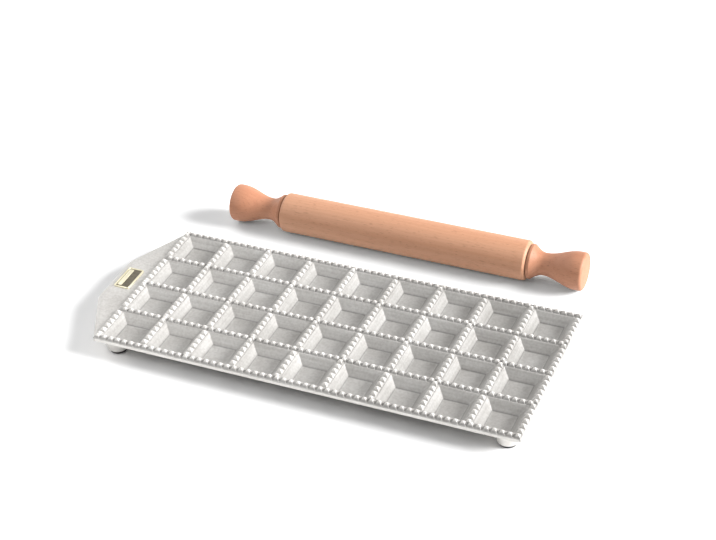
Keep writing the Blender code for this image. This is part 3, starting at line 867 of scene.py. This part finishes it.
def tab_outline(inset, height):
    middle = WIDTH / 2
    root_half = WIDTH / 2 + RIM - TAB_SIDE_STEP - inset
    end = -TAB_REACH + inset
    end_half = TAB_END_HALF - inset / 2
    inner = -RIM + SKIRT_WALL / 2
    far_root = Vector((-RIM, middle + root_half))
    near_root = Vector((-RIM, middle - root_half))
    far_end = Vector((end, middle + end_half))
    near_end = Vector((end, middle - end_half))
    outline = [Vector((inner, middle + root_half)), far_root]
    outline += round_corner(far_root, far_end, near_end, TAB_CORNER - inset)
    outline += round_corner(far_end, near_end, near_root, TAB_CORNER - inset)
    outline += [near_root, Vector((inner, middle - root_half))]
    return [(point.x, point.y, height) for point in outline]


def tab_levels():
    """The inset at each height: a quarter turn of the rolled edge, then a small edge under it."""
    levels = []
    for step in range(ROLL_STEPS + 1):
        angle = math.radians(90 * step / ROLL_STEPS)
        drop = (TAB_THICKNESS - TAB_EDGE) * (1 - math.cos(angle))
        levels.append((TAB_ROLL * (1 - math.sin(angle)), TAB_TOP - drop))
    bottom = TAB_TOP - TAB_THICKNESS
    return levels + [(TAB_EDGE / 6, bottom + TAB_EDGE / 3), (TAB_EDGE, bottom)]


tab_mesh = stacked("grab_tab", [tab_outline(inset, height) for inset, height in tab_levels()])
# The tab's finish paints its rolled edge lighter than its top.
tab = add_piece("grab_tab", tab_mesh, GRID_CORNER, tab_aluminium)

# %% One leg, with the pocket above it cut free
LEG_TOP = 0.0118
LEG_BOTTOM = 0.0072
LEG_SETBACK = 0.0008
FLARE_STEPS = 8
FLARE_POWER = 1.5
FOOT_HEIGHT = 0.0020
STEM_RADIUS = 0.0022
STEM_LENGTH = 0.0040
GAP = 0.0003
LEG_STEPS = 48
ROOM_CORNER = 0.0005


def leg_profile():
    """A flared leg with a blind hole for the foot's stem, softened at its lower edge."""
    bottom = FOOT_HEIGHT + GAP
    top = WEB + WEB_THICKNESS / 2
    hole_top = bottom + STEM_LENGTH
    hole = STEM_RADIUS + GAP
    start = (bottom, LEG_BOTTOM)
    flare = eased(start, (top, LEG_TOP), FLARE_STEPS, lambda share: share ** FLARE_POWER)
    foot_end = soften([(bottom, hole), start, flare[1]], (LEG_SETBACK,))
    inside = [Vector((hole_top, 0.0)), Vector((hole_top, hole))]
    return inside + foot_end + flare[2:] + [Vector((top, 0.0))]


def pocket_room(column, row):
    """The space that a leg must leave free: the pocket above it with half of its wall."""
    under = FLOOR - FLOOR_THICKNESS / 2
    low = MOUTH_INSET + WALL_SLOPE * (LAND - under) - SIDE_WALL / 2
    high = MOUTH_INSET - WALL_SLOPE * TOOTH_HEIGHT - SIDE_WALL / 2
    centre = Vector(((column + 0.5) * PITCH, (row + 0.5) * PITCH_ACROSS, 0.0))
    levels = [(low, under), (high, TIP_HEIGHT)]
    outlines = inset_outlines(PITCH / 2, PITCH_ACROSS / 2, levels, ROOM_CORNER)
    return stacked("pocket_room", [[centre + point for point in outline] for outline in outlines])


def build_leg(name, x, y, column, row):
    leg = linked(name, turned(name, leg_profile(), LEG_STEPS, axis="Z"))
    leg.data.transform(Matrix.Translation((x, y, 0.0)))
    room = linked("room", pocket_room(column, row))
    cut = leg.modifiers.new("cut", "BOOLEAN")
    cut.operation = "DIFFERENCE"
    cut.solver = "EXACT"
    cut.object = room
    result = bpy.data.meshes.new_from_object(leg.evaluated_get(bpy.context.evaluated_depsgraph_get()))
    bpy.data.objects.remove(leg)
    bpy.data.objects.remove(room)
    # The legs take the rim finish, whose painted light lifts them out of the tray's shade.
    return add_piece(name, result, GRID_CORNER, rim_with_painted_light)


# %% Four legs and their rubber feet
LEG_INSET = 0.0095
FOOT_RADIUS = 0.0060
FOOT_EDGE = 0.0009
FOOT_NECK = 0.0003


def build_foot(name, x, y):
    top = FOOT_HEIGHT
    outline = [(0.0, 0.0), (0.0, FOOT_RADIUS), (top, FOOT_RADIUS), (top, STEM_RADIUS)]
    end = top + STEM_LENGTH
    stem = [(end - GAP, STEM_RADIUS), (end, STEM_RADIUS - GAP), (end, 0.0)]
    data = turned(name, soften(outline, (FOOT_EDGE, FOOT_NECK)) + stem, LEG_STEPS, axis="Z")
    return add_piece(name, data, GRID_CORNER + Vector((x, y, 0.0)), black_rubber)


legs = []
feet = {}
for across, row in (("near", 0), ("far", ROWS - 1)):
    for along, column in (("left", 0), ("right", COLUMNS - 1)):
        leg_x = LEG_INSET if column == 0 else LENGTH - LEG_INSET
        leg_y = LEG_INSET if row == 0 else WIDTH - LEG_INSET
        corner = across + "_" + along
        legs.append(build_leg("leg_" + corner, leg_x, leg_y, column, row))
        feet["foot_" + corner] = build_foot("rubber_foot_" + corner, leg_x, leg_y)
print("legs:", len(legs), "feet:", len(feet))

# %% [markdown]
# ## The teeth
# Every border between pockets carries a row of small pyramids that cut the dough. They sit one
# step apart, and every second row is shifted by half a step. One tooth is modelled with worn
# edges, its places are worked out by a formula, and a node tree puts one on each place with a
# little unevenness in size, as castings have.

# %% Model one tooth
TOOTH_SINK = 0.0004
TOOTH_HALF = 0.0024
TOOTH_TIP = 0.00048
TOOTH_WEAR = 0.00026


def build_tooth():
    mesh = bmesh.new()
    flare = 1 + TOOTH_SINK / TOOTH_HEIGHT
    rings = []
    for height, reach in ((-TOOTH_SINK, TOOTH_HALF * flare), (TOOTH_HEIGHT, TOOTH_TIP)):
        rings.append([mesh.verts.new((x * reach, y * reach, height)) for x, y in CORNER_SIGNS])
    bottom, top = rings
    mesh.faces.new(bottom)
    mesh.faces.new(top)
    join_loops(mesh, rings)
    ridge_edges = []
    for index in range(4):
        ridge_edges.append(mesh.edges.get((bottom[index], top[index])))
        ridge_edges.append(mesh.edges.get((top[index], top[(index + 1) % 4])))
    bmesh.ops.bevel(mesh, geom=ridge_edges, offset=TOOTH_WEAR, segments=2, profile=0.5, affect="EDGES")
    bmesh.ops.recalc_face_normals(mesh, faces=mesh.faces)
    return linked("tooth", stored("tooth", mesh))


one_tooth = build_tooth()
print("one tooth:", len(one_tooth.data.polygons), "faces")


# %% Work out where the teeth stand
def row_of_teeth(start, end, phase):
    """Peaks along a ridge, one step apart, kept to the ridge's own stretch."""
    first = math.floor(start / TOOTH_STEP - phase)
    last = math.ceil(end / TOOTH_STEP - phase)
    margin = TOOTH_STEP / 20
    peaks = [(index + phase) * TOOTH_STEP for index in range(first, last + 1)]
    return [peak for peak in peaks if start - margin < peak < end + margin]


def tooth_places():
    places = []
    for row in range(ROWS + 1):
        for x in row_of_teeth(0.0, LENGTH, 0.5 * (row % 2)):
            places.append((x, row * PITCH_ACROSS, LAND))
    for column in range(COLUMNS + 1):
        for row in range(ROWS):
            start = row * PITCH_ACROSS + RIM
            end = (row + 1) * PITCH_ACROSS - RIM
            for y in row_of_teeth(start, end, 0.5 * ((column + 1) % 2)):
                places.append((column * PITCH, y, LAND))
    return places


places = tooth_places()
print("teeth:", len(places))

# %% Put a tooth on each place
SMALLEST_TOOTH = (0.95, 0.95, 0.93)
LARGEST_TOOTH = (0.985, 0.985, 1.0)
TOOTH_SEED = 7
TOOTH_SHARP_ANGLE = math.radians(12)
ROW_HALF = TOOTH_HALF * 1.1


def teeth_tree():
    tree, source, result, identifiers = start_tree("ridge teeth", [
        ("Tooth", "Object"),
        ("Smallest", "Vector"),
        ("Largest", "Vector"),
        ("Seed", "Int"),
        ("Finish", "Material"),
    ])
    tooth = tree.nodes.new("GeometryNodeObjectInfo")
    uneven = tree.nodes.new("FunctionNodeRandomValue")
    uneven.data_type = "FLOAT_VECTOR"
    place = tree.nodes.new("GeometryNodeInstanceOnPoints")
    realize = tree.nodes.new("GeometryNodeRealizeInstances")
    coat = tree.nodes.new("GeometryNodeSetMaterial")
    wire(tree, [
        (source, "Tooth", tooth, "Object"),
        (source, "Smallest", uneven, "Min"),
        (source, "Largest", uneven, "Max"),
        (source, "Seed", uneven, "Seed"),
        (source, "Geometry", place, "Points"),
        (tooth, "Geometry", place, "Instance"),
        (uneven, "Value", place, "Scale"),
        (place, "Instances", realize, "Geometry"),
        (realize, "Geometry", coat, "Geometry"),
        (source, "Finish", coat, "Material"),
        (coat, "Geometry", result, "Geometry"),
    ])
    return tree, identifiers


def between_long_rows(face):
    """True on the rows of teeth across the tray, away from the rows along it."""
    rows_up = (face.center.y - GRID_CORNER.y) / PITCH_ACROSS
    return abs(rows_up - round(rows_up)) * PITCH_ACROSS > ROW_HALF


teeth_mesh = run_tree(new_host("teeth_host", places), *teeth_tree(), {
    "Tooth": one_tooth,
    "Smallest": SMALLEST_TOOTH,
    "Largest": LARGEST_TOOTH,
    "Seed": TOOTH_SEED,
    "Finish": cast_aluminium,
})
bpy.data.objects.remove(one_tooth)
teeth = add_piece("ridge_teeth", teeth_mesh, GRID_CORNER, cast_aluminium, TOOTH_SHARP_ANGLE)
# The rows across the tray take the finish with painted light and shade.
add_second_finish(teeth, across_teeth_painted_aluminium, between_long_rows)

# %% [markdown]
# ## The blank plate
# A small plain plate sits on the tab: a thin pale brass rim round a dark field, with one raised
# bar along it. The rim is a rounded outline with a step in, which is quicker and cleaner than
# cutting a recess with a Boolean. The bar is a second, smaller outline that stands in the field.

# %% Build the plate from (inset, height) pairs
PLATE_PLACE = Vector((-0.0141, WIDTH / 2 + 0.0015, TAB_TOP))
PLATE_HALF_X = 0.0062
PLATE_HALF_Y = 0.0122
PLATE_CORNER = 0.0016
PLATE_HEIGHT = 0.0009
FIELD_HEIGHT = PLATE_HEIGHT - 0.00035
SMALLEST_FIELD = 1e-4
PLATE_LEVELS = [
    (0.0, 0.0), (0.0, PLATE_HEIGHT - 0.0002), (0.0002, PLATE_HEIGHT),
    (0.0009, PLATE_HEIGHT), (0.0011, FIELD_HEIGHT), (0.0013, FIELD_HEIGHT),
]


def in_the_field(face):
    return face.normal.z > 0.9 and face.area > SMALLEST_FIELD


plate_outlines = inset_outlines(PLATE_HALF_X, PLATE_HALF_Y, PLATE_LEVELS, PLATE_CORNER, 1.0)
plate_mesh = stacked("blank_plate", plate_outlines)
plate = add_piece("blank_plate", plate_mesh, GRID_CORNER + PLATE_PLACE, plate_brass)
add_second_finish(plate, plate_enamel, in_the_field)

# %% A raised bar along the plate
BAR_HALF_X = 0.0018
BAR_HALF_Y = 0.0100
BAR_CORNER = 0.0010
BAR_OFFSET = -0.0026
BAR_LEVELS = [
    (0.0, PLATE_HEIGHT - 0.0005), (0.0, PLATE_HEIGHT - 0.0001),
    (0.0003, PLATE_HEIGHT + 0.0002), (0.0009, PLATE_HEIGHT + 0.0003),
]
bar_outlines = inset_outlines(BAR_HALF_X, BAR_HALF_Y, BAR_LEVELS, BAR_CORNER, 0.5)
bar_mesh = stacked("plate_bar", bar_outlines)
bar_place = GRID_CORNER + PLATE_PLACE + Vector((BAR_OFFSET, 0.0, 0.0))
bar = add_piece("plate_bar", bar_mesh, bar_place, plate_brass)

# %% [markdown]
# ## The rolling pin
# The pin is turned wood: a barrel with a small chamfer at each end, and two waisted handles with
# a collar, a cove, a narrow neck and a flared end. They hold a steel axle, and the barrel runs on
# it in two flanged bushes. All of them are turned from one profile each.

# %% Barrel
BARREL_RADIUS = (barrel_high.z - barrel_low.z) / 2
BARREL_HALF = (barrel_high.x - barrel_low.x) / 2
BARREL_CHAMFER = 0.0016
BARREL_SETBACK = 0.0007
AXLE_RADIUS = 0.0030
BUSH_RADIUS = 0.0057
BUSH_LENGTH = 0.0120
FLANGE_RADIUS = 0.0077
FLANGE = 0.0010
TURN_STEPS = 96


def barrel_profile():
    seat = BARREL_HALF - BUSH_LENGTH
    flange_floor = BARREL_HALF - FLANGE - GAP
    edge = soften([
        (0.0, BARREL_RADIUS),
        (BARREL_HALF - BARREL_CHAMFER, BARREL_RADIUS),
        (BARREL_HALF, BARREL_RADIUS - BARREL_CHAMFER),
        (BARREL_HALF, FLANGE_RADIUS + GAP),
    ], (BARREL_SETBACK, BARREL_SETBACK))
    right = edge[1:] + [
        Vector((flange_floor, FLANGE_RADIUS + GAP)),
        Vector((flange_floor, BUSH_RADIUS + GAP)),
        Vector((seat, BUSH_RADIUS + GAP)),
        Vector((seat, AXLE_RADIUS + 2 * GAP)),
    ]
    return right + [Vector((-point.x, point.y)) for point in reversed(right)]


barrel_mesh = turned("barrel", barrel_profile(), TURN_STEPS, closed=True)
barrel = add_piece("barrel", barrel_mesh, PIN_CENTRE, barrel_beech)

# %% Handles
HANDLE_LENGTH = 0.0420
HANDLE_GAP = 0.0006
AXLE_GRIP = 0.0260
COLLAR_RADIUS = 0.0130
COLLAR_LENGTH = 0.0022
COLLAR_SETBACKS = (0.0005, 0.0002)
COVE_STEPS = 10
NECK_RADIUS = 0.0084
NECK_PLACE = 0.0110
WAIST_STEPS = 18
FLARE_RADIUS = 0.0143
FLARE_PLACE = 0.0370
END_ROUND = 0.0024
END_STEPS = 8


def handle_profile():
    """From the axle hole out over the collar, down to the neck and up to the flared end."""
    hole = AXLE_RADIUS + GAP
    points = [Vector((AXLE_GRIP + GAP, 0.0)), Vector((AXLE_GRIP + GAP, hole))]
    collar = [(0.0, hole), (0.0, COLLAR_RADIUS), (COLLAR_LENGTH, COLLAR_RADIUS)]
    collar.append((COLLAR_LENGTH + GAP, COLLAR_RADIUS - GAP))
    points += soften(collar, COLLAR_SETBACKS)
    neck = (NECK_PLACE, NECK_RADIUS)
    flare = (FLARE_PLACE, FLARE_RADIUS)
    points += eased(collar[-1], neck, COVE_STEPS, lambda share: math.sin(share * math.pi / 2))
    points += eased(neck, flare, WAIST_STEPS, lambda share: (1 - math.cos(math.pi * share)) / 2)
    for step in range(END_STEPS + 1):
        angle = math.radians(90 * step / END_STEPS)
        distance = HANDLE_LENGTH - END_ROUND * (1 - math.sin(angle))
        points.append(Vector((distance, FLARE_RADIUS - END_ROUND * (1 - math.cos(angle)))))
    points.append(Vector((HANDLE_LENGTH, 0.0)))
    return points


def build_handle(name, side, finish):
    start = BARREL_HALF + HANDLE_GAP
    profile = [(side * (start + point.x), point.y) for point in handle_profile()]
    return add_piece(name, turned(name, profile, TURN_STEPS), PIN_CENTRE, finish)


left_handle = build_handle("handle_left", -1, left_beech)
right_handle = build_handle("handle_right", 1, right_beech)

# %% Axle and bushes
def build_axle():
    half = BARREL_HALF + HANDLE_GAP + AXLE_GRIP
    edge = AXLE_RADIUS / 6
    side = [(half - edge, AXLE_RADIUS), (half, AXLE_RADIUS - edge), (half, 0.0)]
    profile = [(-distance, radius) for distance, radius in reversed(side)] + side
    return add_piece("axle", turned("axle", profile, LEG_STEPS), PIN_CENTRE, axle_steel)


def build_bush(name, side):
    inner = BARREL_HALF - BUSH_LENGTH + GAP
    flange = BARREL_HALF - FLANGE
    profile = [
        (inner, AXLE_RADIUS + GAP),
        (inner, BUSH_RADIUS),
        (flange, BUSH_RADIUS),
        (flange, FLANGE_RADIUS),
        (BARREL_HALF, FLANGE_RADIUS),
        (BARREL_HALF, AXLE_RADIUS + GAP),
    ]
    profile = [(side * distance, radius) for distance, radius in profile]
    return add_piece(name, turned(name, profile, LEG_STEPS, closed=True), PIN_CENTRE, bush_nylon)


axle = build_axle()
bushes = {"left": build_bush("bush_left", -1), "right": build_bush("bush_right", 1)}

# %% [markdown]
# ## What moves with what
# Each piece rides on a body of the working model. The barrel and its bushes turn together on the
# axle. The tray, its feet, the handles and the axle stay still.

# %% Ride and replace
for piece in [tray, tab, teeth, plate, bar, *legs]:
    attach(piece, "mould")
for piece in [tray, tab, teeth, *legs]:
    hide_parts("mould_casting")
for node, foot in feet.items():
    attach(foot, "mould")
    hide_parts(node)
for node, piece in (("pin_handle_left", left_handle), ("pin_handle_right", right_handle)):
    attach(piece, "mould")
    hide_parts(node)
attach(axle, "mould")
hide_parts("pin_axle")
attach(barrel, "pin_barrel")
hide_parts("pin_barrel")
for side, bush in bushes.items():
    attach(bush, "pin_barrel")
    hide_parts("pin_bush_" + side)

# %% [markdown]
# ## Floor and light
# The photograph is a product shot on white. The floor is a very pale surface that still takes the
# shadow, and the world is white where the camera or a glossy surface looks at it. For the light
# itself both are dimmer, so the white round the object doesn't wash it out.
#
# One broad, low sun from the right makes the right-facing walls bright. A weaker one from the
# left opens the other flanks and the rolled edge of the tab, and a soft one stands above. A sun
# lights the whole floor evenly, so no edge goes grey. Strong lamps close to the tray would be
# nearer to a real studio, but they leave rings on the floor, so the one small panel, which lifts
# the left half of the near side, is weak.

# %% Floor
FLOOR_SIZE = 4.0
FLOOR_SEEN = 1.20
FLOOR_BOUNCE = 0.86
FLOOR_ROUGHNESS = 0.9
FLOOR_GLOSS = 0.1


def build_floor():
    """A wide square that is seen a little brighter than the light that it throws back."""
    data = bpy.data.meshes.new("floor")
    half = FLOOR_SIZE / 2
    corners = [(-half, -half, 0), (half, -half, 0), (half, half, 0), (-half, half, 0)]
    data.from_pydata(corners, [], [(0, 1, 2, 3)])
    finish = bpy.data.materials.new("white floor")
    finish.use_nodes = True
    tree = finish.node_tree
    shader = tree.nodes["Principled BSDF"]
    shader.inputs["Roughness"].default_value = FLOOR_ROUGHNESS
    shader.inputs["Specular IOR Level"].default_value = FLOOR_GLOSS
    seen = tree.nodes.new("ShaderNodeMix")
    seen.data_type = "RGBA"
    seen.inputs["A"].default_value = (*grey(FLOOR_BOUNCE), 1.0)
    seen.inputs["B"].default_value = (*grey(FLOOR_SEEN), 1.0)
    tree.links.new(seen_directly(tree), seen.inputs["Factor"])
    tree.links.new(seen.outputs["Result"], shader.inputs["Base Color"])
    data.materials.append(finish)
    return linked("floor", data)


floor = build_floor()
print("floor:", FLOOR_SIZE, "m wide")

# %% World
AMBIENT = 0.17


def build_world():
    world = bpy.data.worlds.new("white studio")
    world.use_nodes = True
    tree = world.node_tree
    background = tree.nodes["Background"]
    background.inputs["Color"].default_value = (*WHITE, 1.0)
    level = spread(tree, seen_directly(tree), AMBIENT, 1.0)
    tree.links.new(level, background.inputs["Strength"])
    bpy.context.scene.world = world


build_world()
print("world:", bpy.context.scene.world.name)

# %% Lamps
def add_sun(name, towards, strength, width):
    """A sun in the given direction from the object, so many degrees wide."""
    data = bpy.data.lights.new(name, "SUN")
    data.energy = strength
    data.angle = math.radians(width)
    sun = linked(name, data)
    sun.rotation_euler = Vector(towards).to_track_quat("Z", "Y").to_euler()


def add_panel(name, place, aim, size, watts):
    """A square softbox at a place, turned to shine at a point."""
    data = bpy.data.lights.new(name, "AREA")
    data.energy = watts
    data.size = size
    panel = linked(name, data)
    panel.location = place
    panel.visible_camera = False
    panel.rotation_euler = (Vector(place) - Vector(aim)).to_track_quat("Z", "Y").to_euler()


add_sun("key", (0.88, 0.20, 0.42), strength=5.5, width=28.0)
add_sun("top", (-0.15, 0.05, 0.97), strength=0.32, width=80.0)
add_sun("left", (-0.85, 0.25, 0.50), strength=0.90, width=60.0)
add_panel("fill", (-0.32, -0.36, 0.42), aim=(-0.10, -0.05, 0.0), size=0.25, watts=0.64)
bpy.context.scene.view_settings.view_transform = "Standard"
print("lamps:", ", ".join(lamp.name for lamp in bpy.data.lights))
